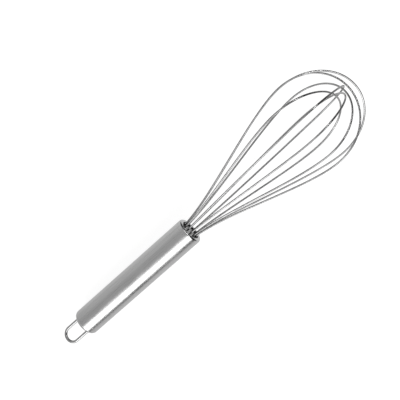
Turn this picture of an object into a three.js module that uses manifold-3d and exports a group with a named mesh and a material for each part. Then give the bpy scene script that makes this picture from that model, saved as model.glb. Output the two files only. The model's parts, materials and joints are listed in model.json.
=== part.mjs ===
// Balloon whisk: a hollow steel handle, six balloon wires and a wire hanging loop.
//
// The whisk is first built upright on its own axis: z = 0 is the lip of the handle's mouth, the balloon
// is above it and the handle is below it. At the end the whisk is laid on the ground plane, where it
// rests on the shoulder of its butt and on two strands of the balloon.
// Row frame: +X from the handle to the balloon, +Z up, origin in the middle of the box on the ground.
// All sizes are in millimetres and all angles in degrees.

import * as THREE from 'three';
import * as BufferGeometryUtils from 'three/addons/utils/BufferGeometryUtils.js';
import Module from 'manifold-3d';

// ---- Driving dimensions ---------------------------------------------------------------------------

const HANDLE_DIAMETER = 20;
const HANDLE_LENGTH = 108;
const HANDLE_WALL = 0.6;
const CLEARANCE = 0.3; // between pieces that touch on the real whisk

const MOUTH_OPENING_RADIUS = 7.2;
const MOUTH_LIP_RADIUS = 8.6; // where the rounded lip is foremost
const MOUTH_ROUNDING = 1.8; // length along the axis of the spun-in shoulder

const BUTT_FLAT_RADIUS = 5.4;
const BUTT_ROUNDING = 3.4;
const BUTT_OPENING_RADIUS = 8.7;
const END_CAP_THICKNESS = 2.2;

const WIRE_DIAMETER = 1.3;
const WIRE_RING_RADIUS = 5.6; // circle on which the twelve strands leave the handle
const WIRE_COUNT = 6;
const RING_TURN = 7.3; // azimuth of the first strand, from the top of the whisk
const NECK_BEND = 3; // each strand bends outwards from 3 mm inside the lip to 3 mm outside it
const NECK_ANGLE = 7; // how far the strands lean outwards at the mouth
const TAIL_END = -30; // the straight tails of the wires reach this deep into the handle

// Shape of each half loop: how full the flank and the crown of the balloon are.
const BELLY_DROP = 1.11; // the widest place is this many half widths below the tip
const FLANK_LOWER_PULL = 0.277;
const FLANK_UPPER_PULL = 0.226;
const CROWN_SIDE_PULL = 0.55;
const CROWN_TOP_PULL = 0.57;

// The loops from the outermost at the tip to the innermost. place: which of the six pairs of holes in
// the ring the wire leaves from. reach: how far its tip is from the lip. bellyTurn: how far its belly
// is turned from its holes. lean and sway: how far the loop leans out of its own plane and in it.
const BALLOON_WIRES = [
  { place: 2, reach: 148.3, halfWidth: 32.8, bellyTurn: -9.3, lean: 0.3, sway: 0.4 },
  { place: 3, reach: 144.4, halfWidth: 31.9, bellyTurn: -1.9, lean: -0.65, sway: 0.2 },
  { place: 0, reach: 142.5, halfWidth: 30.2, bellyTurn: -9.2, lean: 1.75, sway: 0.9 },
  { place: 4, reach: 140.8, halfWidth: 28.7, bellyTurn: -4.3, lean: 0.45, sway: 0 },
  { place: 5, reach: 139.1, halfWidth: 28.8, bellyTurn: 0.1, lean: 0.4, sway: 0.3 },
  { place: 1, reach: 134.5, halfWidth: 31.4, bellyTurn: -10.9, lean: 1.1, sway: 0.9 },
];

const GUIDE_THICKNESS = 1;
const FRONT_GUIDE_FACE = -1.6; // the front guide lies just behind the curled-in mouth
const REAR_GUIDE_FACE = -26.4;

const LOOP_WIRE_DIAMETER = 2.2;
const LOOP_LEG_SPACING = 11.2;
const LOOP_PROTRUSION = 18.8; // how far the hanging loop stands out of the butt
const LOOP_LEG_DEPTH = 6; // how far its legs reach inside the butt
const LOOP_TURN = 98; // azimuth of one leg, from the top of the whisk
const WELD_WIDTH = 1;
const WELD_HEIGHT = 1.2;

const LIE_ANGLE = 5.15; // slope of the whisk's axis when it lies on a table

// ---- Resolution of the faceted solids ----------------------------------------------------------------

const ROUND_SEGMENTS = 40;
const ROUNDING_STEPS = 5;
const WIRE_SIDES = 8;
const WIRE_STEPS = 64;
const HOLE_SIDES = 10;
const LOOP_SIDES = 10;
const LOOP_STEPS = 32;

// ---- Materials ------------------------------------------------------------------------------------

function steel(color, roughness) {
  return new THREE.MeshStandardMaterial({ color, roughness, metalness: 1 });
}

const satinSteel = steel(0xb9babb, 0.35);
const wireSteel = steel(0xa9aaab, 0.25);
const plateSteel = steel(0x8f9091, 0.4);
const weldSteel = steel(0x7c7874, 0.5);
const resin = new THREE.MeshStandardMaterial({ color: 0x4a4743, roughness: 0.4, metalness: 0 });

// ---- Small helpers --------------------------------------------------------------------------------

function radians(degrees) {
  return THREE.MathUtils.degToRad(degrees);
}

// A point in cylinder coordinates about the whisk's axis. Azimuths run clockwise as the whisk is seen
// from the tip of its balloon.
function polar(radius, azimuth, z) {
  return new THREE.Vector3(radius * Math.cos(radians(azimuth)), -radius * Math.sin(radians(azimuth)), z);
}

function namedMesh(name, geometry, material) {
  const mesh = new THREE.Mesh(geometry, material);
  mesh.name = name;
  return mesh;
}

// Points of an elliptical arc in a turned profile, x being the radius and y the height.
function profileArc(centre, semiAxes, fromAngle, toAngle) {
  const points = [];
  for (let i = 0; i <= ROUNDING_STEPS; i += 1) {
    const angle = radians(fromAngle + ((toAngle - fromAngle) * i) / ROUNDING_STEPS);
    const radius = centre.x + semiAxes.x * Math.cos(angle);
    const height = centre.y + semiAxes.y * Math.sin(angle);
    points.push(new THREE.Vector2(radius, height));
  }
  return points;
}

// A solid of revolution about the z axis.
function turned(profile, segments) {
  const geometry = new THREE.LatheGeometry(profile, segments);
  geometry.rotateX(Math.PI / 2);
  return geometry;
}

// A regular polygon whose flats lie at the given radius, so that a round wire of that radius fits in it.
function holePath(x, y, radius, sides) {
  const cornerRadius = radius / Math.cos(Math.PI / sides);
  const path = new THREE.Path();
  for (let i = 0; i < sides; i += 1) {
    const angle = (2 * Math.PI * i) / sides;
    const corner = [x + cornerRadius * Math.cos(angle), y + cornerRadius * Math.sin(angle)];
    if (i === 0) {
      path.moveTo(...corner);
    } else {
      path.lineTo(...corner);
    }
  }
  path.closePath();
  return path;
}

// A round wire along a path.
function wireAlong(path, diameter, sides, steps) {
  const section = new THREE.Shape();
  section.setFromPoints(new THREE.Path().absarc(0, 0, diameter / 2, 0, 2 * Math.PI).getSpacedPoints(sides));
  return new THREE.ExtrudeGeometry(section, { steps, extrudePath: path, bevelEnabled: false });
}

// ---- Boolean cuts ---------------------------------------------------------------------------------

const wasm = await Module();
wasm.setup();

function toManifold(geometry) {
  const bare = geometry.clone();
  bare.deleteAttribute('normal');
  bare.deleteAttribute('uv');
  const merged = BufferGeometryUtils.mergeVertices(bare);
  const vertProperties = new Float32Array(merged.attributes.position.array);
  const triVerts = new Uint32Array(merged.index.array);
  return new wasm.Manifold(new wasm.Mesh({ numProp: 3, vertProperties, triVerts }));
}

function toGeometry(manifold) {
  const mesh = manifold.getMesh();
  const geometry = new THREE.BufferGeometry();
  geometry.setAttribute('position', new THREE.BufferAttribute(mesh.vertProperties, 3));
  geometry.setIndex(new THREE.BufferAttribute(mesh.triVerts, 1));
  geometry.computeVertexNormals();
  return geometry;
}

// ---- Handle ---------------------------------------------------------------------------------------

const handleRadius = HANDLE_DIAMETER / 2;
const boreRadius = handleRadius - HANDLE_WALL;
const insertRadius = boreRadius - CLEARANCE;
const buttRoundingWidth = handleRadius - BUTT_FLAT_RADIUS;

// Half of the butt's rounding, as an arc whose radius shrinks from the tube's to the given one.
function buttArc(semiAxes, fromRadius, toRadius) {
  const centre = new THREE.Vector2(BUTT_FLAT_RADIUS, BUTT_ROUNDING - HANDLE_LENGTH);
  const angleAt = (radius) => {
    const cosine = Math.min(1, (radius - centre.x) / semiAxes.x);
    return -THREE.MathUtils.radToDeg(Math.acos(cosine));
  };
  return profileArc(centre, semiAxes, angleAt(fromRadius), angleAt(toRadius));
}

function handleTube() {
  const outerButt = new THREE.Vector2(buttRoundingWidth, BUTT_ROUNDING);
  const innerButt = new THREE.Vector2(buttRoundingWidth - HANDLE_WALL, BUTT_ROUNDING - HANDLE_WALL);
  const outerMouthCentre = new THREE.Vector2(MOUTH_LIP_RADIUS, -MOUTH_ROUNDING);
  const outerMouth = new THREE.Vector2(handleRadius - MOUTH_LIP_RADIUS, MOUTH_ROUNDING);
  const innerMouthCentre = new THREE.Vector2(MOUTH_OPENING_RADIUS, -MOUTH_ROUNDING);
  const innerMouth = new THREE.Vector2(boreRadius - MOUTH_OPENING_RADIUS, MOUTH_ROUNDING - HANDLE_WALL);
  const profile = [
    ...buttArc(outerButt, BUTT_OPENING_RADIUS, handleRadius),
    ...profileArc(outerMouthCentre, outerMouth, 0, 90),
    new THREE.Vector2(MOUTH_OPENING_RADIUS, -HANDLE_WALL / 2),
    ...profileArc(innerMouthCentre, innerMouth, 90, 0),
    ...buttArc(innerButt, boreRadius, BUTT_OPENING_RADIUS),
  ];
  profile.push(profile[0].clone());
  return namedMesh('handle_tube', turned(profile, ROUND_SEGMENTS), satinSteel);
}

// ---- Wire guides and resin -------------------------------------------------------------------------

// Where strand number k of the twelve sits in the ring.
function strandAzimuth(k) {
  return RING_TURN + (k * 180) / WIRE_COUNT;
}

// A disc that fills the bore and has a round channel for each of the twelve strands.
function drilledDisc(name, frontFace, thickness, material) {
  const outline = new THREE.Shape();
  outline.setFromPoints(holePath(0, 0, insertRadius, ROUND_SEGMENTS).getPoints());
  for (let k = 0; k < 2 * WIRE_COUNT; k += 1) {
    const centre = polar(WIRE_RING_RADIUS, strandAzimuth(k), 0);
    outline.holes.push(holePath(centre.x, centre.y, WIRE_DIAMETER / 2 + CLEARANCE, HOLE_SIDES));
  }
  const geometry = new THREE.ExtrudeGeometry(outline, { depth: thickness, bevelEnabled: false });
  const disc = namedMesh(name, geometry, material);
  disc.position.z = frontFace - thickness;
  return disc;
}

function wireAnchor() {
  const anchor = new THREE.Group();
  const resinFront = FRONT_GUIDE_FACE - GUIDE_THICKNESS - CLEARANCE;
  const resinLength = resinFront - REAR_GUIDE_FACE - CLEARANCE;
  anchor.add(drilledDisc('front_wire_guide', FRONT_GUIDE_FACE, GUIDE_THICKNESS, plateSteel));
  anchor.add(drilledDisc('resin_plug', resinFront, resinLength, resin));
  anchor.add(drilledDisc('rear_wire_guide', REAR_GUIDE_FACE, GUIDE_THICKNESS, plateSteel));
  return anchor;
}

// ---- Balloon wires ---------------------------------------------------------------------------------

// One side of a wire loop as a list of curves, from the end of its tail up to the middle of its crown.
function halfLoop(wire, side) {
  const holeAzimuth = strandAzimuth(wire.place) + side;
  const bellyAzimuth = holeAzimuth + wire.bellyTurn;
  const planeAzimuth = strandAzimuth(wire.place) + wire.bellyTurn;
  const outwards = Math.sin(radians(NECK_ANGLE));
  const forwards = Math.cos(radians(NECK_ANGLE));
  const bellyHeight = wire.reach - BELLY_DROP * wire.halfWidth;
  const crownHeight = wire.reach - bellyHeight;

  // Leaning and swaying shift a point sideways in proportion to its height above the lip.
  const leaning = polar(Math.tan(radians(wire.lean)), planeAzimuth + 90, 0);
  const swaying = polar(Math.tan(radians(wire.sway)), planeAzimuth, 0);
  const shift = leaning.add(swaying);
  const place = (radius, azimuth, z) => polar(radius, azimuth, z).addScaledVector(shift, Math.max(z, 0));

  const tail = place(WIRE_RING_RADIUS, holeAzimuth, TAIL_END);
  const neckStart = place(WIRE_RING_RADIUS, holeAzimuth, -NECK_BEND);
  const neckCorner = place(WIRE_RING_RADIUS, holeAzimuth, 0);
  const neckRadius = WIRE_RING_RADIUS + NECK_BEND * outwards;
  const neckHeight = NECK_BEND * forwards;
  const neckEnd = place(neckRadius, holeAzimuth, neckHeight);

  const pull = FLANK_LOWER_PULL * bellyHeight;
  const flankLower = place(neckRadius + pull * outwards, holeAzimuth, neckHeight + pull * forwards);
  const flankUpper = place(wire.halfWidth, bellyAzimuth, (1 - FLANK_UPPER_PULL) * bellyHeight);
  const belly = place(wire.halfWidth, bellyAzimuth, bellyHeight);

  const crownSide = place(wire.halfWidth, bellyAzimuth, bellyHeight + CROWN_SIDE_PULL * crownHeight);
  const crownTop = place(CROWN_TOP_PULL * wire.halfWidth, bellyAzimuth, wire.reach);
  const tip = place(0, bellyAzimuth, wire.reach);

  return [
    new THREE.LineCurve3(tail, neckStart),
    new THREE.QuadraticBezierCurve3(neckStart, neckCorner, neckEnd),
    new THREE.CubicBezierCurve3(neckEnd, flankLower, flankUpper, belly),
    new THREE.CubicBezierCurve3(belly, crownSide, crownTop, tip),
  ];
}

function reversed(curve) {
  if (curve.isLineCurve3) {
    return new THREE.LineCurve3(curve.v2, curve.v1);
  }
  if (curve.isQuadraticBezierCurve3) {
    return new THREE.QuadraticBezierCurve3(curve.v2, curve.v1, curve.v0);
  }
  return new THREE.CubicBezierCurve3(curve.v3, curve.v2, curve.v1, curve.v0);
}

function balloonWire(wire, number) {
  const path = new THREE.CurvePath();
  halfLoop(wire, 0).forEach((curve) => path.add(curve));
  halfLoop(wire, 180).reverse().forEach((curve) => path.add(reversed(curve)));
  const geometry = wireAlong(path, WIRE_DIAMETER, WIRE_SIDES, WIRE_STEPS);
  return namedMesh(`balloon_wire_${number}`, geometry, wireSteel);
}

function balloon() {
  const group = new THREE.Group();
  BALLOON_WIRES.forEach((wire, i) => group.add(balloonWire(wire, i + 1)));
  return group;
}

// ---- Butt: end cap and hanging loop ----------------------------------------------------------------

const legOffset = LOOP_LEG_SPACING / 2;
const legRadius = LOOP_WIRE_DIAMETER / 2;
const capInnerFace = END_CAP_THICKNESS - HANDLE_LENGTH;

// The cap carries on the rounding of the tube to the flat middle, and has a hole for each leg.
function endCap() {
  const outer = new THREE.Vector2(buttRoundingWidth, BUTT_ROUNDING);
  const rimRadius = BUTT_OPENING_RADIUS - CLEARANCE;
  const profile = [
    new THREE.Vector2(0, -HANDLE_LENGTH),
    ...buttArc(outer, BUTT_FLAT_RADIUS, rimRadius),
    new THREE.Vector2(rimRadius, capInnerFace),
    new THREE.Vector2(0, capInnerFace),
  ];
  let solid = toManifold(turned(profile, ROUND_SEGMENTS));
  for (const side of [-1, 1]) {
    const outline = new THREE.Shape();
    outline.setFromPoints(holePath(side * legOffset, 0, legRadius + CLEARANCE, HOLE_SIDES).getPoints());
    const drill = new THREE.ExtrudeGeometry(outline, { depth: 3 * END_CAP_THICKNESS, bevelEnabled: false });
    drill.translate(0, 0, -HANDLE_LENGTH - END_CAP_THICKNESS);
    solid = solid.subtract(toManifold(drill));
  }
  return namedMesh('end_cap', toGeometry(solid), satinSteel);
}

// A U of wire in the xz plane: two straight legs and a half-round bow beyond the butt.
function hangingLoop() {
  const legTop = LOOP_LEG_DEPTH - HANDLE_LENGTH;
  const bowCentre = legOffset + legRadius - HANDLE_LENGTH - LOOP_PROTRUSION;
  const at = (x, z) => new THREE.Vector3(x, 0, z);
  const arcPull = (legOffset * 4 * (Math.SQRT2 - 1)) / 3; // makes a Bezier quarter nearly circular
  const bowEnd = bowCentre - legOffset;
  const corner = (side) => [
    at(side * legOffset, bowCentre),
    at(side * legOffset, bowCentre - arcPull),
    at(side * arcPull, bowEnd),
    at(0, bowEnd),
  ];
  const path = new THREE.CurvePath();
  path.add(new THREE.LineCurve3(at(-legOffset, legTop), at(-legOffset, bowCentre)));
  path.add(new THREE.CubicBezierCurve3(...corner(-1)));
  path.add(new THREE.CubicBezierCurve3(...corner(1).reverse()));
  path.add(new THREE.LineCurve3(at(legOffset, bowCentre), at(legOffset, legTop)));
  const geometry = wireAlong(path, LOOP_WIRE_DIAMETER, LOOP_SIDES, LOOP_STEPS);
  return namedMesh('hanging_loop', geometry, wireSteel);
}

// A ring of weld around a leg, just behind the cap.
function loopWeld(name, side) {
  const inner = legRadius + CLEARANCE;
  const base = capInnerFace + CLEARANCE;
  const profile = [
    new THREE.Vector2(inner, base),
    new THREE.Vector2(inner + WELD_WIDTH, base),
    new THREE.Vector2(inner + WELD_WIDTH, base + WELD_HEIGHT / 3),
    new THREE.Vector2(inner + WELD_WIDTH / 2, base + WELD_HEIGHT),
    new THREE.Vector2(inner, base + WELD_HEIGHT),
    new THREE.Vector2(inner, base),
  ];
  const weld = namedMesh(name, turned(profile, 2 * HOLE_SIDES), weldSteel);
  weld.position.x = side * legOffset;
  return weld;
}

function butt() {
  const group = new THREE.Group();
  group.add(endCap());
  group.add(hangingLoop());
  group.add(loopWeld('loop_weld_near', 1));
  group.add(loopWeld('loop_weld_far', -1));
  group.rotation.z = -radians(LOOP_TURN);
  return group;
}

// ---- Assembly --------------------------------------------------------------------------------------

const upright = new THREE.Group();
upright.add(handleTube());
upright.add(wireAnchor());
upright.add(balloon());
upright.add(butt());

// Lay the whisk down: its axis points along +X and rises by the lie angle, and the side at azimuth 0
// is uppermost.
const forward = new THREE.Vector3(Math.cos(radians(LIE_ANGLE)), 0, Math.sin(radians(LIE_ANGLE)));
const upward = new THREE.Vector3(-forward.z, 0, forward.x);
const sideways = new THREE.Vector3().crossVectors(forward, upward);
upright.quaternion.setFromRotationMatrix(new THREE.Matrix4().makeBasis(upward, sideways, forward));

// Move the middle of its footprint to the origin and its lowest point to the ground.
upright.updateMatrixWorld(true);
const box = new THREE.Box3().setFromObject(upright, true);
const middle = box.getCenter(new THREE.Vector3());
upright.position.set(-middle.x, -middle.y, -box.min.z);

const whisk = new THREE.Group();
whisk.add(upright);

export default whisk;
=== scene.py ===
"""A balloon whisk lying on a pale table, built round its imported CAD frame.

The smooth wires, turned handle and fittings are made here in the whisk's own upright measures, in
millimetres about its axis, and are laid down onto the frame with one matrix.
"""
import json
import logging
import math
from dataclasses import dataclass, field
from enum import Enum
from typing import Any, Iterable, Sequence

import bmesh
import bpy
from mathutils import Matrix, Vector


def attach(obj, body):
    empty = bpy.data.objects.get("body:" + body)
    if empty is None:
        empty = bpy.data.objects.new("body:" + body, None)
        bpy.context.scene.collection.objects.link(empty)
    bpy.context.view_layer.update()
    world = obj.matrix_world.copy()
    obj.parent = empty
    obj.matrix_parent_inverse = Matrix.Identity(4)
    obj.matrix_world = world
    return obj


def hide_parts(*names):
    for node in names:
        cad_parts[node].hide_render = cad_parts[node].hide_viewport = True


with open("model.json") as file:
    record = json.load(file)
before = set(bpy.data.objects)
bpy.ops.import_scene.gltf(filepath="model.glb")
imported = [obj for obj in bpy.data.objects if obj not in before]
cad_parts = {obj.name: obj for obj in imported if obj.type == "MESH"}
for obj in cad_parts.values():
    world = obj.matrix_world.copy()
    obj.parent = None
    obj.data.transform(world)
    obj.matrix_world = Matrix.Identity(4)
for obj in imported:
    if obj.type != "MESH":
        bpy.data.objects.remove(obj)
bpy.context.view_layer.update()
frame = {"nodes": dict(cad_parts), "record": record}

BODY = "root"
MM = 0.001
ON_AXIS = 1e-6  # a profile point nearer to the axis than this lies on it
TURNED_EDGE = 34.0  # edges of a turned disc sharper than this, in degrees, stay sharp
WIRE_EDGE = 60.0  # the same for the cut ends of a wire
MOST = (0.3, 0.7)  # the range in which most values of a noise lie
RING_SIZES = {"Count": 12, "Ring Radius": 5.6, "Ring Turn": 0.0}
log = logging.getLogger("whisk")

Socket = bpy.types.NodeSocket
Material = bpy.types.Material
Pair = tuple[float, float]
Triple = tuple[float, float, float]
Profile = list[Pair]
Colour = Triple


class Slot(Enum):
    """The material slots named in the record. The finishes of the pieces are built below, not taken from
    these slots.
    """

    SATIN_STEEL = "satin_steel"
    WIRE_STEEL = "wire_steel"
    LOOP_STEEL = "loop_steel"
    PLATE_STEEL = "plate_steel"
    WELD_STEEL = "weld_steel"
    RESIN = "resin"


# ---- Where the whisk lies ----


def axes(first: Vector, last: Vector) -> Matrix:
    """Rotation that turns x to the first vector and z to the last."""
    return Matrix((first, last.cross(first), last)).transposed()


@dataclass(frozen=True)
class LyingWhisk:
    """The whisk's own axis system, laid down as the CAD frame has it.

    Upright, z runs along the axis from the lip of the handle's mouth (z = 0) to the balloon, and
    azimuths run clockwise as the whisk is seen from the tip of the balloon.

    Args:
        mouth: Centre of the handle's mouth in the frame, in metres.
        forward: Unit vector along the axis towards the balloon.
    """

    mouth: Vector
    forward: Vector

    @classmethod
    def from_record(cls, record: dict[str, Any], handle_length: float) -> "LyingWhisk":
        """Find the axis from the mount on the flat face of the end cap.

        Args:
            record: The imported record.
            handle_length: Length of the handle in millimetres.

        Returns:
            The whisk's axis system.
        """
        face = next(m for m in record["mounts"] if m["kind"] == "flat_face")
        forward = -Vector(face["axis"]).normalized()
        return cls(Vector(face["pos_m"]) + forward * handle_length * MM, forward)

    @property
    def turn(self) -> Matrix:
        """Rotation from the upright whisk to the lying one."""
        return axes(Vector((-self.forward.z, 0.0, self.forward.x)), self.forward)

    @property
    def matrix(self) -> Matrix:
        """Matrix from upright millimetres to metres in the frame."""
        return Matrix.Translation(self.mouth) @ self.turn.to_4x4() @ Matrix.Scale(MM, 4)


def polar(radius: float, azimuth: float, z: float) -> Vector:
    """Point in cylinder coordinates about the whisk's axis.

    Args:
        radius: Distance from the axis.
        azimuth: Angle in degrees, clockwise as seen from the tip of the balloon.
        z: Height above the lip of the mouth.

    Returns:
        The point, in the units of the radius.
    """
    angle = math.radians(azimuth)
    return Vector((radius * math.cos(angle), -radius * math.sin(angle), z))


# ---- Mesh helpers ----


def ellipse_arc(centre: Pair, semi: Pair,
                start: float, end: float, steps: int) -> Profile:
    """Points on an elliptical arc of a turned profile.

    Args:
        centre: Radius and height of the arc's centre.
        semi: Half axes along the radius and along the height.
        start: First angle in degrees, 0 pointing outwards and 90 pointing forwards.
        end: Last angle in degrees.
        steps: Number of steps.

    Returns:
        The points from start to end.
    """
    angles = [math.radians(start + (end - start) * i / steps) for i in range(steps + 1)]
    return [(centre[0] + semi[0] * math.cos(a), centre[1] + semi[1] * math.sin(a)) for a in angles]


def straight(start: Pair, end: Pair, steps: int) -> Profile:
    """Points strictly between two points of a profile.

    Args:
        start: Radius and height of the first end.
        end: Radius and height of the other end.
        steps: Number of steps between them.

    Returns:
        The points between the ends, without the ends.
    """
    return [(start[0] + (end[0] - start[0]) * i / steps, start[1] + (end[1] - start[1]) * i / steps)
            for i in range(1, steps)]


def turned_mesh(name: str, profile: Profile, segments: int) -> bpy.types.Mesh:
    """Solid of revolution about the z axis, from a closed profile or one that ends on the axis.

    Args:
        name: Name of the mesh.
        profile: Radius and height of each point in millimetres. A point on the axis has radius 0.
        segments: Number of steps round the axis.

    Returns:
        The upright mesh in millimetres, with a UV map of turn and length along the profile.
    """
    bm = bmesh.new()
    uv = bm.loops.layers.uv.new("UVMap")
    rings: list[list[bmesh.types.BMVert]] = []
    for radius, height in profile:
        if radius < ON_AXIS:
            rings.append([bm.verts.new((0, 0, height))] * segments)
            continue
        rings.append([bm.verts.new((radius * math.cos(a), radius * math.sin(a), height))
                      for a in (2 * math.pi * k / segments for k in range(segments))])
    closed = profile[0][0] > ON_AXIS and profile[-1][0] > ON_AXIS
    lengths = [0.0]
    loop = profile + profile[:1] if closed else profile
    for p, q in zip(loop, loop[1:]):
        lengths.append(lengths[-1] + math.dist(p, q))
    for i in range(len(loop) - 1):
        low, high = rings[i], rings[(i + 1) % len(rings)]
        for k in range(segments):
            m = (k + 1) % segments
            corners = [(low[k], k, i), (low[m], k + 1, i), (high[m], k + 1, i + 1), (high[k], k, i + 1)]
            kept = [c for j, c in enumerate(corners) if c[0] is not corners[j - 1][0]]
            face = bm.faces.new([c[0] for c in kept])
            face.smooth = True
            for corner, (_, turn, row) in zip(face.loops, kept):
                corner[uv].uv = (turn / segments, lengths[row] / lengths[-1])
    bmesh.ops.recalc_face_normals(bm, faces=bm.faces)
    mesh = bpy.data.meshes.new(name)
    bm.to_mesh(mesh)
    bm.free()
    return mesh


def add_object(name: str, data: bpy.types.ID) -> bpy.types.Object:
    """Put a mesh, a lamp or a camera into the scene.

    Args:
        name: Name of the object.
        data: What the object holds.

    Returns:
        The object.
    """
    made = bpy.data.objects.new(name, data)
    bpy.context.scene.collection.objects.link(made)
    return made


def path_mesh(name: str, points: Iterable[Vector]) -> bpy.types.Mesh:
    """Chain of edges through points, for a tree that follows a path.

    Args:
        name: Name of the mesh.
        points: The points in order.

    Returns:
        The mesh of vertices and edges.
    """
    places = [tuple(p) for p in points]
    mesh = bpy.data.meshes.new(name)
    mesh.from_pydata(places, [(i, i + 1) for i in range(len(places) - 1)], [])
    return mesh


def bezier(*control: Vector, steps: int) -> list[Vector]:
    """Points of a Bezier curve of any degree, without its first point.

    Args:
        control: The control points.
        steps: Number of steps.

    Returns:
        The points after the first one, in order.
    """
    made = []
    for i in range(1, steps + 1):
        t, row = i / steps, list(control)
        while len(row) > 1:
            row = [a.lerp(b, t) for a, b in zip(row, row[1:])]
        made.append(row[0])
    return made


# ---- Node trees ----


class NodeTree:
    """A node tree under construction."""

    prefix = "ShaderNode"

    def __init__(self, tree: bpy.types.NodeTree) -> None:
        """Start on a tree.

        Args:
            tree: Tree of a material, of the world or of a recipe.
        """
        self.tree = tree

    def plug(self, target: Socket, value: Any) -> None:
        """Join a socket to an input, or set the input to a constant.

        Args:
            target: The input.
            value: A socket or a constant.
        """
        if isinstance(value, Socket):
            self.tree.links.new(value, target)
        else:
            target.default_value = value

    def node(self, kind: str, settings: dict[str, Any] | None = None,
             **wires: Any) -> bpy.types.Node:
        """Add a node and fill its inputs.

        Args:
            kind: Node type without its prefix, such as TexNoise or CurveToMesh.
            settings: Properties of the node.
            wires: A value or a socket for each input, by its name with underscores for spaces, or by
                iN for input number N.

        Returns:
            The node.
        """
        whole = kind if kind.startswith(("Shader", "Function")) else self.prefix + kind
        made = self.tree.nodes.new(whole)
        for key, value in (settings or {}).items():
            setattr(made, key, value)
        for key, value in wires.items():
            numbered = key[0] == "i" and key[1:].isdigit()
            self.plug(made.inputs[int(key[1:]) if numbered else key.replace("_", " ")], value)
        return made

    def math(self, operation: str, first: Any, *others: Any) -> Socket:
        """Work out a sum, a product or another operation over one or more values.

        Args:
            operation: The operation's name.
            first: The first value or socket.
            others: The values or sockets that follow it.

        Returns:
            The result.
        """
        for other in others or (0.0,):
            made = self.node("ShaderNodeMath", {"operation": operation}, i0=first, i1=other)
            first = made.outputs[0]
        return first

    def between(self, value: Socket, source: Pair,
                target: Pair, smooth: bool = False) -> Socket:
        """Map one range of a value onto another.

        Args:
            value: The value.
            source: Where it comes from.
            target: Where it goes, held at the ends.
            smooth: Whether the ends are eased.

        Returns:
            The mapped value.
        """
        kind = "SMOOTHSTEP" if smooth else "LINEAR"
        return self.node("MapRange", {"interpolation_type": kind}, i0=value, i1=source[0],
                         i2=source[1], i3=target[0], i4=target[1]).outputs[0]


# ---- Geometry Nodes recipes ----


class Recipe(NodeTree):
    """A Geometry Nodes tree under construction, with named inputs for its sizes."""

    prefix = "GeometryNode"

    def __init__(self, name: str, sizes: dict[str, int | float]) -> None:
        """Start a tree that takes a geometry, sizes and a material, and gives a geometry back.

        Args:
            name: Name of the node group.
            sizes: Name and default value of each size.
        """
        super().__init__(bpy.data.node_groups.new(name, "GeometryNodeTree"))
        for way in ("INPUT", "OUTPUT"):
            self.tree.interface.new_socket("Geometry", in_out=way, socket_type="NodeSocketGeometry")
        self.inlet = self.tree.nodes.new("NodeGroupInput")
        self.outlet = self.tree.nodes.new("NodeGroupOutput")
        self.names: dict[str, str] = {}
        for size, default in {**sizes, "Material": None}.items():
            kind = {int: "Int", float: "Float"}.get(type(default), "Material")
            socket = self.tree.interface.new_socket(size, in_out="INPUT",
                                                    socket_type=f"NodeSocket{kind}")
            if default is not None:
                socket.default_value = default
            self.names[size] = socket.identifier

    def plug(self, target: Socket, value: Any) -> None:
        """Join or set an input.

        Args:
            target: The input.
            value: A socket, a constant or the name of one of the recipe's own inputs.
        """
        named = isinstance(value, str) and value in self.names
        super().plug(target, self.inlet.outputs[value] if named else value)

    def ring(self) -> Socket:
        """Points spread evenly round the axis, from the named inputs of a ring.

        Returns:
            The geometry socket of the points.
        """
        spacing = self.math("DIVIDE", 360.0, "Count")
        steps = self.math("MULTIPLY", self.node("InputIndex").outputs[0], spacing)
        turn = self.math("ADD", "Ring Turn", steps)
        angle = self.math("RADIANS", self.math("MULTIPLY", turn, -1.0))
        place = self.node("ShaderNodeCombineXYZ",
                          X=self.math("MULTIPLY", "Ring Radius", self.math("COSINE", angle)),
                          Y=self.math("MULTIPLY", "Ring Radius", self.math("SINE", angle)))
        points = self.node("Points", Count="Count")
        moved = self.node("SetPosition", Geometry=points.outputs[0], Position=place.outputs[0])
        return moved.outputs[0]

    def close(self, geometry: Socket) -> None:
        """End the tree in Realize Instances, smooth shading and Set Material.

        Args:
            geometry: The socket that the tree ends with.
        """
        real = self.node("RealizeInstances", Geometry=geometry)
        smooth = self.node("SetShadeSmooth", i0=real.outputs[0])
        dressed = self.node("SetMaterial", Geometry=smooth.outputs[0], Material="Material")
        self.tree.links.new(dressed.outputs[0], self.outlet.inputs[0])

    def make(self, name: str, base: bpy.types.Mesh, sizes: dict[str, Any]) -> bpy.types.Object:
        """Run the tree on a mesh and keep the result as a plain mesh.

        Args:
            name: Name of the piece.
            base: The mesh that goes into the tree.
            sizes: Value of each named input.

        Returns:
            The object, with no modifier left on it.
        """
        piece = add_object(name, base)
        modifier = piece.modifiers.new("recipe", "NODES")
        modifier.node_group = self.tree
        for key, value in sizes.items():
            modifier[self.names[key]] = value
        piece.update_tag()
        graph = bpy.context.evaluated_depsgraph_get()
        made = bpy.data.meshes.new_from_object(piece.evaluated_get(graph), depsgraph=graph)
        piece.modifiers.remove(modifier)
        piece.data = made
        made.name = name
        bpy.data.meshes.remove(base)
        return piece


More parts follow.
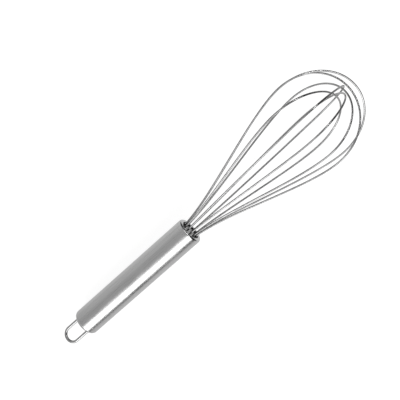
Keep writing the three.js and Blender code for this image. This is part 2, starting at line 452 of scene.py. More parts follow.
def wire_recipe() -> Recipe:
    """Recipe for a round wire along a path, which keeps where it was in the straight wire.

    Returns:
        The recipe. Its mesh has the attributes along, in millimetres, and section, the place in the
        wire's round section.
    """
    recipe = Recipe("round_wire_along_path", {"Wire Radius": 0.65, "Sides": 16, "Steps": 300})
    line = recipe.node("MeshToCurve", Mesh=recipe.inlet.outputs[0])
    even = recipe.node("ResampleCurve", Curve=line.outputs[0], Count="Steps")
    length = recipe.node("SplineParameter").outputs["Length"]
    path = recipe.node("StoreNamedAttribute", {"data_type": "FLOAT", "domain": "POINT"},
                       Geometry=even.outputs[0], Name="along", Value=length)
    circle = recipe.node("CurvePrimitiveCircle", Resolution="Sides", Radius="Wire Radius")
    place = recipe.node("InputPosition").outputs[0]
    section = recipe.node("StoreNamedAttribute", {"data_type": "FLOAT_VECTOR", "domain": "POINT"},
                          Geometry=circle.outputs[0], Name="section", Value=place)
    skin = recipe.node("CurveToMesh", Curve=path.outputs[0], Profile_Curve=section.outputs[0],
                       Fill_Caps=True)
    recipe.close(skin.outputs[0])
    return recipe


def drilled_recipe() -> Recipe:
    """Recipe that drills a ring of round holes through a turned disc.

    Returns:
        The recipe.
    """
    recipe = Recipe("ring_of_drilled_holes", {
        **RING_SIZES, "Hole Radius": 0.7, "Hole Depth": 20.0, "Hole Sides": 32, "Disc Height": 0.0})
    drill = recipe.node("MeshCylinder", {"fill_type": "NGON"}, Vertices="Hole Sides",
                        Radius="Hole Radius", Depth="Hole Depth")
    places = recipe.ring()
    copies = recipe.node("InstanceOnPoints", Points=places, Instance=drill.outputs[0])
    real = recipe.node("RealizeInstances", Geometry=copies.outputs[0])
    height = recipe.node("ShaderNodeCombineXYZ", Z="Disc Height").outputs[0]
    lifted = recipe.node("SetPosition", Geometry=real.outputs[0], Offset=height)
    cut = recipe.node("MeshBoolean", {"operation": "DIFFERENCE", "solver": "EXACT"},
                      i0=recipe.inlet.outputs[0], i1=lifted.outputs[0])
    recipe.close(cut.outputs[0])
    return recipe


def ring_recipe() -> Recipe:
    """Recipe that repeats a small turned part evenly round the axis.

    Returns:
        The recipe.
    """
    recipe = Recipe("ring_of_small_parts", {**RING_SIZES, "Seed": 4})
    places = recipe.ring()
    smallest, largest, whole_turn = (0.86, 0.86, 0.7), (1.12, 1.12, 1.15), 6.28
    spread = recipe.node("FunctionNodeRandomValue", {"data_type": "FLOAT_VECTOR"}, i0=smallest,
                         i1=largest, Seed="Seed")
    spin = recipe.node("FunctionNodeRandomValue", {"data_type": "FLOAT"}, i2=0.0, i3=whole_turn,
                       Seed="Seed")
    heading = recipe.node("ShaderNodeCombineXYZ", Z=spin.outputs[1])
    copies = recipe.node("InstanceOnPoints", Points=places, Instance=recipe.inlet.outputs[0],
                         Rotation=heading.outputs[0], Scale=spread.outputs[0])
    recipe.close(copies.outputs[0])
    return recipe


# ---- Shading helpers ----


class Shading(NodeTree):
    """A material under construction, with its pattern laid out in whisk millimetres."""

    def __init__(self, name: str, whisk: LyingWhisk) -> None:
        """Start a material with an empty surface shader.

        Args:
            name: Name of the material.
            whisk: Where the whisk lies, so that the pattern follows its axis.
        """
        self.material = bpy.data.materials.new(name)
        self.material.use_nodes = True
        super().__init__(self.material.node_tree)
        self.tree.nodes.clear()
        self.whisk = whisk
        self.surface = self.node("BsdfPrincipled")
        self.node("OutputMaterial", i0=self.surface.outputs[0])

    def axis_mm(self) -> Socket:
        """Object coordinates turned to the whisk's own axes, in millimetres.

        Returns:
            The vector socket. Its z runs along the whisk's axis.
        """
        place = self.node("TexCoord").outputs["Object"]
        laid = self.node("Mapping", {"vector_type": "TEXTURE"}, Vector=place,
                         Location=tuple(self.whisk.mouth),
                         Rotation=tuple(self.whisk.turn.to_euler()), Scale=(MM, MM, MM))
        return laid.outputs[0]

    def wire_mm(self) -> Socket:
        """Place in the straight wire before it was bent, in millimetres, z running along it.

        Returns:
            The vector socket.
        """
        section = self.node("Attribute", {"attribute_name": "section"}).outputs["Vector"]
        along = self.node("Attribute", {"attribute_name": "along"}).outputs["Fac"]
        end = self.node("CombineXYZ", Z=along).outputs[0]
        return self.node("VectorMath", {"operation": "ADD"}, i0=section, i1=end).outputs[0]

    def noise(self, place: Socket, scale: Sequence[float], detail: float = 3.0,
              roughness: float = 0.6) -> Socket:
        """Soft noise with its own size on each axis.

        Args:
            place: Coordinates in millimetres.
            scale: Cells per millimetre on each axis.
            detail: Octaves of finer noise.
            roughness: Strength of the finer octaves.

        Returns:
            The noise's value socket.
        """
        stretched = self.node("VectorMath", {"operation": "MULTIPLY"}, i0=place, i1=tuple(scale))
        return self.node("TexNoise", Vector=stretched.outputs[0], Scale=1.0, Detail=detail,
                         Roughness=roughness).outputs[0]

    def tint(self, factor: Socket, low: Colour, high: Colour) -> Socket:
        """Blend two colours.

        Args:
            factor: 0 for the first colour, 1 for the second.
            low: The first colour.
            high: The second colour.

        Returns:
            The blended colour.
        """
        mix = self.node("Mix", {"data_type": "RGBA"}, i0=factor, i6=(*low, 1), i7=(*high, 1))
        return mix.outputs[2]

    def relief(self, height: Socket, depth_mm: float,
               below: Socket | None = None) -> Socket:
        """Turn a height pattern into a bumped normal.

        Args:
            height: The pattern, 0 to 1.
            depth_mm: Height of the relief in millimetres.
            below: Normal of a coarser relief beneath it.

        Returns:
            The normal socket.
        """
        coarser = {} if below is None else {"Normal": below}
        return self.node("Bump", Height=height, Strength=1.0, Distance=depth_mm * MM,
                         **coarser).outputs[0]

    def dress(self, **wires: Any) -> Material:
        """Set or join the surface shader's own sockets.

        Args:
            wires: Socket names with underscores for spaces, each a constant or a socket.

        Returns:
            The finished material.
        """
        for key, value in wires.items():
            self.plug(self.surface.inputs[key.replace("_", " ")], value)
        return self.material


# ---- Finishes ----


@dataclass(frozen=True)
class SatinTube:
    """Steel tube polished along its length: fine lengthwise lines, faint smears, brighter edges."""

    dark: Colour = (0.50, 0.50, 0.502)
    light: Colour = (0.60, 0.60, 0.598)
    roughness: float = 0.27
    handle_length: float = 108.0

    def build(self, whisk: LyingWhisk) -> Material:
        """Make the material.

        Args:
            whisk: Where the whisk lies.

        Returns:
            The material.
        """
        sh = Shading("satin_tube_steel", whisk)
        mm = sh.axis_mm()
        broad = sh.noise(mm, (0.9, 0.9, 0.012))
        fine = sh.noise(mm, (7.0, 7.0, 0.05), 3.0, 0.65)
        hair = sh.noise(mm, (26.0, 26.0, 0.22), 2.0, 0.6)
        smear = sh.noise(mm, (0.10, 0.10, 0.06), 2.0, 0.5)
        tone = sh.math("ADD", sh.between(broad, MOST, (0, 0.5)), sh.between(fine, MOST, (0, 0.5)))
        height = sh.node("SeparateXYZ", Vector=mm).outputs["Z"]
        at_mouth = sh.between(height, (-3.0, -0.6), (0.0, -0.08), True)
        at_butt = sh.between(height, (-self.handle_length, -self.handle_length + 5), (-0.05, 0.0), True)
        rough = sh.math("ADD", sh.between(fine, (0.25, 0.75), (self.roughness - 0.05, self.roughness + 0.05)),
                        sh.between(smear, (0.4, 0.7), (0.0, 0.05), True), at_mouth, at_butt)
        lines = sh.relief(hair, 0.0016, sh.relief(fine, 0.004))
        tangent = sh.node("Tangent", {"direction_type": "UV_MAP"}).outputs[0]
        return sh.dress(Base_Color=sh.tint(tone, self.dark, self.light), Metallic=1.0, Roughness=rough,
                        Normal=lines, Anisotropic=0.35, Tangent=tangent)


@dataclass(frozen=True)
class TurnedFace:
    """Steel disc faced on a lathe: fine rings about the whisk's axis."""

    name: str = "turned_face_steel"
    dark: Colour = (0.42, 0.42, 0.42)
    light: Colour = (0.56, 0.56, 0.555)
    roughness: float = 0.33
    grime: float = 0.0

    def build(self, whisk: LyingWhisk) -> Material:
        """Make the material.

        Args:
            whisk: Where the whisk lies.

        Returns:
            The material.
        """
        sh = Shading(self.name, whisk)
        mm = sh.axis_mm()
        parts = sh.node("SeparateXYZ", Vector=mm)
        flat = sh.node("CombineXYZ", X=parts.outputs["X"], Y=parts.outputs["Y"]).outputs[0]
        radius = sh.node("VectorMath", {"operation": "LENGTH"}, i0=flat).outputs["Value"]
        spread = sh.node("CombineXYZ", X=radius, Z=parts.outputs["Z"]).outputs[0]
        rings = sh.noise(spread, (11.0, 1.0, 11.0))
        patches = sh.noise(mm, (0.5, 0.5, 0.5))
        tone = sh.between(sh.math("ADD", rings, patches), (0.7, 1.3), (0, 1))
        rough = sh.math("ADD", sh.between(rings, MOST, (self.roughness - 0.05, self.roughness + 0.06)),
                        sh.between(patches, (0.45, 0.7), (0.0, 0.08 + self.grime)))
        return sh.dress(Base_Color=sh.tint(tone, self.dark, self.light), Metallic=1.0, Roughness=rough,
                        Normal=sh.relief(rings, 0.006))


@dataclass(frozen=True)
class DrawnWire:
    """Bright drawn wire: die lines along it, with slow changes of tone and a few scuffs."""

    name: str
    dark: Colour = (0.26, 0.26, 0.26)
    light: Colour = (0.50, 0.50, 0.50)
    roughness: float = 0.20

    def build(self, whisk: LyingWhisk) -> Material:
        """Make the material.

        Args:
            whisk: Where the whisk lies.

        Returns:
            The material.
        """
        sh = Shading(self.name, whisk)
        mm = sh.wire_mm()
        lines = sh.noise(mm, (5.5, 5.5, 0.07), 3.0, 0.65)
        tone = sh.noise(mm, (0.5, 0.5, 0.05))
        scuffs = sh.noise(mm, (1.6, 1.6, 0.9), 4.0, 0.7)
        rough = sh.math("ADD", sh.between(lines, MOST, (self.roughness - 0.04, self.roughness + 0.05)),
                        sh.between(scuffs, (0.56, 0.7), (0.0, 0.12), True))
        normal = sh.relief(scuffs, 0.002, sh.relief(lines, 0.003))
        return sh.dress(Base_Color=sh.tint(sh.between(tone, MOST, (0, 1)), self.dark, self.light),
                        Metallic=1.0, Roughness=rough, Normal=normal)


@dataclass(frozen=True)
class Weld:
    """Weld bead: rippled, straw and grey from the heat."""

    dark: Colour = (0.20, 0.18, 0.17)
    light: Colour = (0.46, 0.42, 0.36)

    def build(self, whisk: LyingWhisk) -> Material:
        """Make the material.

        Args:
            whisk: Where the whisk lies.

        Returns:
            The material.
        """
        sh = Shading("weld_bead_steel", whisk)
        mm = sh.axis_mm()
        ripple = sh.noise(mm, (1.6, 1.6, 2.4))
        return sh.dress(Base_Color=sh.tint(ripple, self.dark, self.light), Metallic=1.0,
                        Roughness=sh.between(ripple, MOST, (0.35, 0.6)),
                        Normal=sh.relief(ripple, 0.12))


@dataclass(frozen=True)
class CastResin:
    """Dark casting resin with a cured skin."""

    dark: Colour = (0.05, 0.047, 0.043)
    light: Colour = (0.13, 0.12, 0.11)

    def build(self, whisk: LyingWhisk) -> Material:
        """Make the material.

        Args:
            whisk: Where the whisk lies.

        Returns:
            The material.
        """
        sh = Shading("cast_resin", whisk)
        mm = sh.axis_mm()
        cloud = sh.noise(mm, (0.8, 0.8, 0.8))
        specks = sh.noise(mm, (6.0, 6.0, 6.0), 2.0, 0.6)
        return sh.dress(Base_Color=sh.tint(cloud, self.dark, self.light),
                        Roughness=sh.between(cloud, MOST, (0.28, 0.5)),
                        Normal=sh.relief(specks, 0.03))


@dataclass(frozen=True)
class TableTop:
    """Plain pale light table: matt, lit from beneath, with a barely visible mottle."""

    dark: Colour = (0.30, 0.30, 0.30)
    light: Colour = (0.34, 0.34, 0.34)
    glow: float = 0.83

    def build(self, whisk: LyingWhisk) -> Material:
        """Make the material.

        Args:
            whisk: Where the whisk lies.

        Returns:
            The material.
        """
        sh = Shading("pale_table", whisk)
        mottle = sh.noise(sh.axis_mm(), (0.02, 0.02, 0.02))
        return sh.dress(Base_Color=sh.tint(mottle, self.dark, self.light), Roughness=0.9,
                        Specular_IOR_Level=0.0, Emission_Color=(1, 1, 1, 1),
                        Emission_Strength=self.glow)


# ---- Sub-assemblies ----


def settle(piece: bpy.types.Object, whisk: LyingWhisk, stands_for: Sequence[str]) -> None:
    """Lay a piece down in the frame, attach it to the whisk's body and hide the CAD nodes that it stands for.

    Args:
        piece: The piece, built upright in millimetres.
        whisk: Where the whisk lies.
        stands_for: CAD nodes that it replaces.
    """
    piece.data.transform(whisk.matrix)
    piece.data.update()
    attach(piece, BODY)
    if stands_for:
        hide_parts(*stands_for)
    log.info("%s: %d faces", piece.name, len(piece.data.polygons))


@dataclass
class Handle:
    """The hollow handle: a drawn tube with a curled-in mouth and a rounded butt, closed by a cap."""

    diameter: float = 20.0
    length: float = 108.0
    wall: float = 0.6
    mouth_lip_radius: float = 8.6
    mouth_opening_radius: float = 7.2
    mouth_rounding: float = 1.8
    butt_flat_radius: float = 5.4
    butt_rounding: float = 3.4
    butt_opening_radius: float = 8.7
    seam: float = 0.07
    cap_thickness: float = 2.2
    leg_hole_radius: float = 1.16
    leg_spacing: float = 11.2
    leg_turn: float = 98.0
    segments: int = 160

    @property
    def radius(self) -> float:
        """Outer radius of the tube."""
        return self.diameter / 2

    @property
    def bore_radius(self) -> float:
        """Inner radius of the tube."""
        return self.radius - self.wall

    def butt_arc(self, inset: float, start_radius: float, end_radius: float, steps: int) -> Profile:
        """Part of the butt's rounding.

        Args:
            inset: How far inside the outer skin the arc runs.
            start_radius: Radius at which it starts.
            end_radius: Radius at which it ends.
            steps: Number of steps.

        Returns:
            The points from start to end.
        """
        centre = (self.butt_flat_radius, self.butt_rounding - self.length)
        semi = (self.radius - self.butt_flat_radius - inset, self.butt_rounding - inset)
        start, end = (-math.degrees(math.acos(max(-1.0, min(1.0, (r - centre[0]) / semi[0]))))
                      for r in (start_radius, end_radius))
        return ellipse_arc(centre, semi, start, end, steps)

    def tube_profile(self) -> Profile:
        """Closed profile of the tube's wall.

        Returns:
            The points, from the butt along the outside to the mouth and back along the inside.
        """
        outer_centre = (self.mouth_lip_radius, -self.mouth_rounding)
        outer_semi = (self.radius - self.mouth_lip_radius, self.mouth_rounding)
        inner_centre = (self.mouth_opening_radius, -self.mouth_rounding)
        inner_semi = (self.bore_radius - self.mouth_opening_radius, self.mouth_rounding - self.wall)
        butt = self.butt_arc(0, self.butt_opening_radius, self.radius, 14)
        mouth = ellipse_arc(outer_centre, outer_semi, 0, 90, 16)
        curl = (self.mouth_lip_radius - self.mouth_opening_radius, self.wall / 2)
        nose = ellipse_arc((self.mouth_lip_radius, -self.wall / 2), curl, 90, 180, 10)[1:]
        inner = ellipse_arc(inner_centre, inner_semi, 90, 0, 8)
        inner_butt = self.butt_arc(self.wall, self.bore_radius, self.butt_opening_radius, 8)
        return [*butt, *straight(butt[-1], mouth[0], 14), *mouth, *nose, *inner,
                *straight(inner[-1], inner_butt[0], 6), *inner_butt]

    def cap_profile(self) -> Profile:
        """Profile of the end cap.

        Returns:
            The points, from the axis outside round the rim to the axis inside.
        """
        rim = self.butt_opening_radius - self.seam
        arc = self.butt_arc(0, self.butt_flat_radius, rim, 14)
        inside = self.cap_thickness - self.length
        flat = straight((0, -self.length), arc[0], 6)
        return [(0, -self.length), *flat, *arc, (rim, inside), *straight((rim, inside), (0, inside), 5),
                (0, inside)]

    def build(self, whisk: LyingWhisk, drilling: Recipe, satin: Material,
              faced: Material) -> None:
        """Make the tube and the drilled cap.

        Args:
            whisk: Where the whisk lies.
            drilling: The recipe that drills holes.
            satin: Finish of the tube.
            faced: Finish of the cap.
        """
        shell = turned_mesh("handle_shell", self.tube_profile(), self.segments)
        shell.materials.append(satin)
        settle(add_object("handle_shell", shell), whisk, ["handle_tube"])
        cap = drilling.make("butt_cap", turned_mesh("butt_cap", self.cap_profile(), self.segments), {
            "Count": 2, "Ring Radius": self.leg_spacing / 2, "Ring Turn": self.leg_turn,
            "Hole Radius": self.leg_hole_radius, "Disc Height": -self.length, "Material": faced})
        sharpen(cap, TURNED_EDGE)
        settle(cap, whisk, ["end_cap"])


def sharpen(piece: bpy.types.Object, angle: float) -> None:
    """Mark edges sharper than an angle, so that smooth shading stops at them.

    Args:
        piece: The piece.
        angle: The angle in degrees.
    """
    bm = bmesh.new()
    bm.from_mesh(piece.data)
    bmesh.ops.recalc_face_normals(bm, faces=bm.faces)
    for edge in bm.edges:
        edge.smooth = len(edge.link_faces) == 2 and edge.calc_face_angle(0) < math.radians(angle)
    bm.to_mesh(piece.data)
    bm.free()


@dataclass
class WireAnchor:
    """What holds the wires in the mouth: a drilled guide just behind its curl, sealed with resin."""

    guide_radius: float = 9.1
    guide_face: float = -1.6
    guide_thickness: float = 1.0
    ring_radius: float = 5.6
    strands: int = 12
    ring_turn: float = 7.3
    hole_radius: float = 0.78
    wire_radius: float = 0.65
    rim_chamfer: float = 0.18
    seal_width: float = 0.42
    seal_height: float = 0.34
    seal_depth: float = 0.5
    seal_inner_radius: float = 0.52
    seal_play: float = 0.02
    seal_edge: float = 0.005
    seal_segments: int = 24
    segments: int = 128

    def guide_profile(self) -> Profile:
        """Profile of the guide, with its rim broken.

        Returns:
            The points, from the axis at the back round the rim to the axis in front.
        """
        face, back = self.guide_face, self.guide_face - self.guide_thickness
        rim, inset = self.guide_radius, self.guide_radius - self.rim_chamfer
        return [(0, back), (inset, back), (rim, back + self.rim_chamfer), (rim, face - self.rim_chamfer),
                (inset, face), *straight((inset, face), (0, face), 4), (0, face)]

    def seal_profile(self) -> Profile:
        """Closed profile of the resin that has crept up round one wire.

        Returns:
            The points, from the foot in the hole up the outside to the wire.
        """
        base, outer = self.guide_face - self.seal_depth, self.hole_radius - self.seal_play
        top, foot = self.guide_face + self.seal_height, self.wire_radius + self.seal_width
        curve = ellipse_arc((foot, top), (self.seal_width, self.seal_height), -90, -180, 7)
        return [(self.seal_inner_radius, base), (outer, base), (outer, self.guide_face - self.seal_edge),
                *curve, (self.seal_inner_radius, top)]

    def build(self, whisk: LyingWhisk, drilling: Recipe, repeating: Recipe,
              plate: Material, resin: Material) -> None:
        """Make the drilled guide and the twelve resin seals.

        Args:
            whisk: Where the whisk lies.
            drilling: The recipe that drills holes.
            repeating: The recipe that repeats a part round the axis.
            plate: Finish of the guide.
            resin: Finish of the seals.
        """
        ring = {"Count": self.strands, "Ring Radius": self.ring_radius, "Ring Turn": self.ring_turn}
        guide = drilling.make("mouth_guide", turned_mesh("mouth_guide", self.guide_profile(), self.segments),
                              {**ring, "Hole Radius": self.hole_radius, "Disc Height": self.guide_face,
                               "Material": plate})
        sharpen(guide, TURNED_EDGE)
        settle(guide, whisk, ["front_wire_guide"])
        seal = turned_mesh("resin_seal", self.seal_profile(), self.seal_segments)
        seals = repeating.make("resin_seals", seal, {**ring, "Material": resin})
        settle(seals, whisk, [])

    def dress_hidden(self, plate: Material, resin: Material,
                     weld: Material) -> None:
        """Give the sealed inner nodes of the frame their finishes.

        Args:
            plate: Finish of the rear guide.
            resin: Finish of the resin plug.
            weld: Finish of the welds behind the cap.
        """
        for node, finish in {"rear_wire_guide": plate, "resin_plug": resin, "loop_weld_near": weld,
                             "loop_weld_far": weld}.items():
            piece = frame["nodes"][node]
            for place in piece.material_slots:
                place.link = "OBJECT"
                place.material = finish
            log.info("%s: kept from the frame", node)


@dataclass(frozen=True)
class WireLoop:
    """One loop of the balloon.

    Args:
        place: Which of the six pairs of holes in the ring it leaves from.
        reach: How far its tip is from the lip of the mouth.
        half_width: Half its width at the belly.
        belly_turn: How far its belly is turned from its holes, in degrees.
        lean: How far it leans out of its own plane, in degrees.
        sway: How far it leans within its own plane, in degrees.
    """

    place: int
    reach: float
    half_width: float
    belly_turn: float
    lean: float
    sway: float


@dataclass
class Balloon:
    """Six wire loops, from the outermost at the tip to the innermost."""

    anchor: WireAnchor
    wire_diameter: float = 1.3
    neck_bend: float = 3.0
    neck_angle: float = 7.0
    tail_end: float = -30.0
    belly_drop: float = 1.11
    flank_lower_pull: float = 0.277
    flank_upper_pull: float = 0.226
    crown_side_pull: float = 0.55
    crown_top_pull: float = 0.57
    neck_steps: int = 12
    flank_steps: int = 120
    crown_steps: int = 70
    sides: int = 18
    steps: int = 320
    loops: list[WireLoop] = field(default_factory=lambda: [
        WireLoop(2, 148.3, 32.8, -9.3, 0.3, 0.4),
        WireLoop(3, 144.4, 31.9, -1.9, -0.65, 0.2),
        WireLoop(0, 142.5, 30.2, -9.2, 1.75, 0.9),
        WireLoop(4, 140.8, 28.7, -4.3, 0.45, 0.0),
        WireLoop(5, 139.1, 28.8, 0.1, 0.4, 0.3),
        WireLoop(1, 134.5, 31.4, -10.9, 1.1, 0.9),
    ])

    def half_loop(self, loop: WireLoop, side: float) -> list[Vector]:
        """One side of a loop, from the end of its tail up to the middle of its crown.

        Args:
            loop: The loop.
            side: 0 for the first side, 180 for the other.

        Returns:
            The points in millimetres.
        """
        hole = self.anchor.ring_turn + loop.place * 360 / self.anchor.strands
        plane = hole + loop.belly_turn
        hole, turn = hole + side, plane + side
        outwards, forwards = (math.sin(math.radians(self.neck_angle)),
                              math.cos(math.radians(self.neck_angle)))
        belly = loop.reach - self.belly_drop * loop.half_width
        crown = loop.reach - belly
        shift = (polar(math.tan(math.radians(loop.lean)), plane + 90, 0)
                 + polar(math.tan(math.radians(loop.sway)), plane, 0))
        ring, width = self.anchor.ring_radius, loop.half_width

        def at(radius: float, azimuth: float, z: float) -> Vector:
            """Point of the leaning loop."""
            return polar(radius, azimuth, z) + shift * max(z, 0.0)

        neck = (ring + self.neck_bend * outwards, self.neck_bend * forwards)
        pull = self.flank_lower_pull * belly
        points = [at(ring, hole, self.tail_end), at(ring, hole, -self.neck_bend)]
        points += bezier(points[-1], at(ring, hole, 0), at(neck[0], hole, neck[1]),
                         steps=self.neck_steps)
        points += bezier(points[-1], at(neck[0] + pull * outwards, hole, neck[1] + pull * forwards),
                         at(width, turn, (1 - self.flank_upper_pull) * belly),
                         at(width, turn, belly), steps=self.flank_steps)
        points += bezier(points[-1], at(width, turn, belly + self.crown_side_pull * crown),
                         at(self.crown_top_pull * width, turn, loop.reach),
                         at(0, turn, loop.reach), steps=self.crown_steps)
        return points

    def build(self, whisk: LyingWhisk, wiring: Recipe, finish: Material) -> None:
        """Bend the six wires.

        Args:
            whisk: Where the whisk lies.
            wiring: The recipe for a wire along a path.
            finish: Finish of the wires.
        """
        for number, loop in enumerate(self.loops, 1):
            near, far = self.half_loop(loop, 0), self.half_loop(loop, 180)
            path = path_mesh(f"path_{number}", near + far[-2::-1])
            wire = wiring.make(f"balloon_loop_{number}", path, {
                "Wire Radius": self.wire_diameter / 2, "Sides": self.sides, "Steps": self.steps,
                "Material": finish})
            sharpen(wire, WIRE_EDGE)
            settle(wire, whisk, [f"balloon_wire_{number}"])


@dataclass
class HangingLoop:
    """The U of wire at the butt, with its legs through the end cap."""

    handle: Handle
    wire_diameter: float = 2.2
    protrusion: float = 18.8
    leg_depth: float = 6.0
    leg_steps: int = 6
    bow_steps: int = 72
    sides: int = 28
    steps: int = 200

    def build(self, whisk: LyingWhisk, wiring: Recipe, finish: Material) -> None:
        """Bend the loop.

        Args:
            whisk: Where the whisk lies.
            wiring: The recipe for a wire along a path.
            finish: Finish of the loop.
        """
        leg, top = self.handle.leg_spacing / 2, self.leg_depth - self.handle.length
        bow = leg + self.wire_diameter / 2 - self.handle.length - self.protrusion
        turn = self.handle.leg_turn
        heights = [top + (bow - top) * i / self.leg_steps for i in range(self.leg_steps + 1)]
        points = [polar(-leg, turn, height) for height in heights]
        points += [polar(-leg * math.cos(a), turn, bow - leg * math.sin(a))
                   for a in (math.pi * i / self.bow_steps for i in range(1, self.bow_steps))]
        points += [polar(leg, turn, height) for height in reversed(heights)]
        eye = wiring.make("hanging_eye", path_mesh("eye_path", points), {
            "Wire Radius": self.wire_diameter / 2, "Sides": self.sides, "Steps": self.steps,
            "Material": finish})
        sharpen(eye, WIRE_EDGE)
        settle(eye, whisk, ["hanging_loop"])


# ---- Studio ----


@dataclass
class Softbox:
    """A large rectangular light.

    Args:
        name: Name of the light.
        towards: Direction from the whisk to the light.
        distance: How far away it is, in metres.
        width: Its size along the whisk.
        height: Its other size.
        power: In watts.
    """

    name: str
    towards: Triple
    distance: float
    width: float
    height: float
    power: float

    def build(self) -> None:
        """Hang the light, facing the whisk."""
        lamp = bpy.data.lights.new(self.name, "AREA")
        lamp.shape, lamp.size, lamp.size_y, lamp.energy = "RECTANGLE", self.width, self.height, self.power
        light = add_object(self.name, lamp)
        back = Vector(self.towards).normalized()
        across = Vector((1, 0, 0)) - back * back.x
        across.normalize()
        light.matrix_world = Matrix.Translation(back * self.distance) @ axes(across, back).to_4x4()


@dataclass
class Room:
    """The grey room round the table, dark beyond the tip and in a gap under the long softbox.

    Directions are unit vectors from the whisk: x towards the tip, y away from the viewer, z up.

    Args:
        by_height: Height z, and brightness there.
        by_length: Place x, from -1 at the butt, and share of brightness.
        dark_end: Where x the room beyond the tip starts to darken, and where it is darkest.
        dark_share: Brightness of the dark end, as a share.
        dark_foot: Heights z between which the dark end fades in from below.
        ahead: Where x the room starts to lighten again, and where it is lightest.
        ahead_share: Brightness straight ahead of the tip, as a share.
        gap_middle: Height z of the middle of the gap between the long softbox and the table.
        gap_core: Half the height of the part of the gap that is black.
        gap_height: Half the height of the gap.
        gap_side: Places y between which the gap fades out, on the viewer's side.
        gap_end: Places x between which the gap fades in, at the butt.
        backdrop: Grey of the plain backdrop that the camera sees past the table.
    """

    by_height: tuple[Pair, ...] = (
        (-1.0, 0.80), (-0.25, 0.80), (0.05, 0.66), (0.42, 0.74), (0.62, 0.58), (0.85, 0.52), (1.0, 0.54))
    by_length: tuple[Pair, ...] = (
        (-1.0, 0.80), (-0.60, 0.80), (-0.38, 0.94), (-0.15, 1.06), (1.0, 1.06))
    dark_end: Pair = (0.12, 0.42)
    dark_share: float = 0.03
    dark_foot: Pair = (-0.6, -0.35)
    ahead: Pair = (0.80, 0.95)
    ahead_share: float = 0.5
    gap_middle: float = 0.08
    gap_core: float = 0.175
    gap_height: float = 0.25
    gap_side: Pair = (-0.6, -0.1)
    gap_end: Pair = (-0.75, -0.5)
    backdrop: float = 0.93

    @staticmethod
    def ramp(sh: NodeTree, along: Socket,
             stops: Sequence[Pair]) -> Socket:
        """Grey that changes along a direction.

        Args:
            sh: The world's tree.
            along: Place along the direction, from -1 to 1.
            stops: Places and greys, in order.

        Returns:
            The colour socket.
        """
        made = sh.node("ValToRGB", i0=sh.between(along, (-1.0, 1.0), (0.0, 1.0)))
        made.color_ramp.interpolation = "EASE"
        while len(made.color_ramp.elements) < len(stops):
            made.color_ramp.elements.new(0.5)
        for element, (place, grey) in zip(made.color_ramp.elements, stops):
            element.position, element.color = (place + 1) / 2, (grey, grey, grey, 1)
        return made.outputs[0]

    def build(self) -> None:
        """Make the world."""
        world = bpy.data.worlds.new("grey_room")
        world.use_nodes = True
        sh = NodeTree(world.node_tree)
        x, y, z = sh.node("SeparateXYZ", i0=sh.node("TexCoord").outputs["Generated"]).outputs
        beyond = sh.between(x, self.dark_end, (1.0, self.dark_share), True)
        below = sh.between(z, self.dark_foot, (1.0, 0.0), True)
        ahead = sh.between(x, self.ahead, (0.0, self.ahead_share), True)
        from_gap = sh.math("ABSOLUTE", sh.math("SUBTRACT", z, self.gap_middle))
        gap = sh.between(from_gap, (self.gap_core, self.gap_height), (0.0, 1.0), True)
        behind = sh.between(y, self.gap_side, (0.0, 1.0), True)
        at_butt = sh.between(x, self.gap_end, (1.0, 0.0), True)
        strength = sh.math("MULTIPLY", sh.math("MAXIMUM", gap, behind, at_butt),
                           sh.math("MAXIMUM", beyond, below, ahead), self.ramp(sh, x, self.by_length))
        mirrored = sh.node("Background", Color=self.ramp(sh, z, self.by_height), Strength=strength)
        plain = sh.node("Background", Color=(self.backdrop, self.backdrop, self.backdrop, 1.0))
        mixed = sh.node("MixShader", i0=sh.node("LightPath").outputs["Is Camera Ray"],
                        i1=mirrored.outputs[0], i2=plain.outputs[0])
        sh.plug(sh.tree.nodes["World Output"].inputs["Surface"], mixed.outputs[0])
        sh.tree.nodes.remove(sh.tree.nodes["Background"])
        bpy.context.scene.world = world


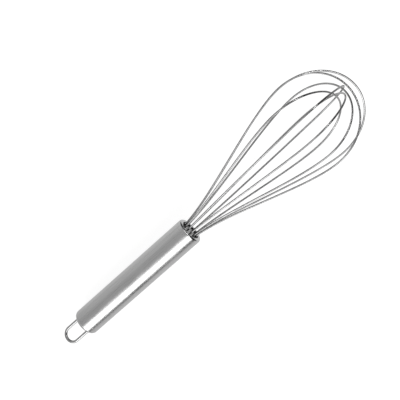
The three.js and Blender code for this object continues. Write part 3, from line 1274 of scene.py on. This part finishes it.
@dataclass
class Studio:
    """Camera, pale table and soft light."""

    camera_place: Triple = (0.138388, -0.073680, 0.652999)
    camera_back: Triple = (0.201006, -0.129733, 0.970961)
    camera_up: Triple = (0.642845, 0.765377, -0.030816)
    lens: float = 85.68
    near_limit: float = 0.01
    table_radius: float = 6.0
    table_sides: int = 96
    table_drop: float = 0.00006
    room: Room = field(default_factory=Room)
    lights: list[Softbox] = field(default_factory=lambda: [
        Softbox("long_softbox", (-0.365, -0.717, 0.644), 1.03, 1.0, 0.77, 5.2),
        Softbox("butt_softbox", (-0.80, -0.50, 0.33), 1.03, 0.75, 0.5, 2.5),
        Softbox("rim_strip", (0.58, -0.02, 0.81), 1.1, 0.06, 1.7, 3.8),
    ])

    def build(self, table: Material) -> None:
        """Set up the camera, the table and the lights.

        Args:
            table: Finish of the table.
        """
        scene = bpy.context.scene
        scene.view_settings.view_transform = "Standard"
        lens = bpy.data.cameras.new("studio_camera")
        lens.lens, lens.clip_start = self.lens, self.near_limit
        camera = add_object("studio_camera", lens)
        back, up = Vector(self.camera_back).normalized(), Vector(self.camera_up)
        right = up.cross(back).normalized()
        place = Matrix.Translation(Vector(self.camera_place))
        camera.matrix_world = place @ axes(right, back).to_4x4()
        scene.camera = camera
        bm = bmesh.new()
        bmesh.ops.create_circle(bm, cap_ends=True, segments=self.table_sides, radius=self.table_radius)
        mesh = bpy.data.meshes.new("table_top")
        bm.to_mesh(mesh)
        bm.free()
        mesh.transform(Matrix.Translation((0, 0, -self.table_drop)))
        mesh.materials.append(table)
        floor = add_object("table_top", mesh)
        floor.visible_glossy = False
        self.room.build()
        for light in self.lights:
            light.build()


def main() -> None:
    """Build the whisk and its studio."""
    logging.basicConfig(level=logging.INFO, format="%(message)s")
    handle, anchor = Handle(), WireAnchor()
    whisk = LyingWhisk.from_record(frame["record"], handle.length)
    wiring, drilling, repeating = wire_recipe(), drilled_recipe(), ring_recipe()
    satin = SatinTube(handle_length=handle.length).build(whisk)
    faced = TurnedFace().build(whisk)
    plate = TurnedFace("guide_plate_steel", (0.60, 0.60, 0.60), (0.76, 0.76, 0.755), 0.5, 0.05).build(whisk)
    wire = DrawnWire("drawn_balloon_wire").build(whisk)
    loop = DrawnWire("drawn_loop_wire", (0.36, 0.36, 0.36), (0.48, 0.48, 0.48), 0.2).build(whisk)
    resin, weld = CastResin().build(whisk), Weld().build(whisk)

    handle.build(whisk, drilling, satin, faced)
    anchor.build(whisk, drilling, repeating, plate, resin)
    anchor.dress_hidden(plate, resin, weld)
    Balloon(anchor).build(whisk, wiring, wire)
    HangingLoop(handle).build(whisk, wiring, loop)
    Studio().build(TableTop().build(whisk))


if __name__ == "__main__":
    main()
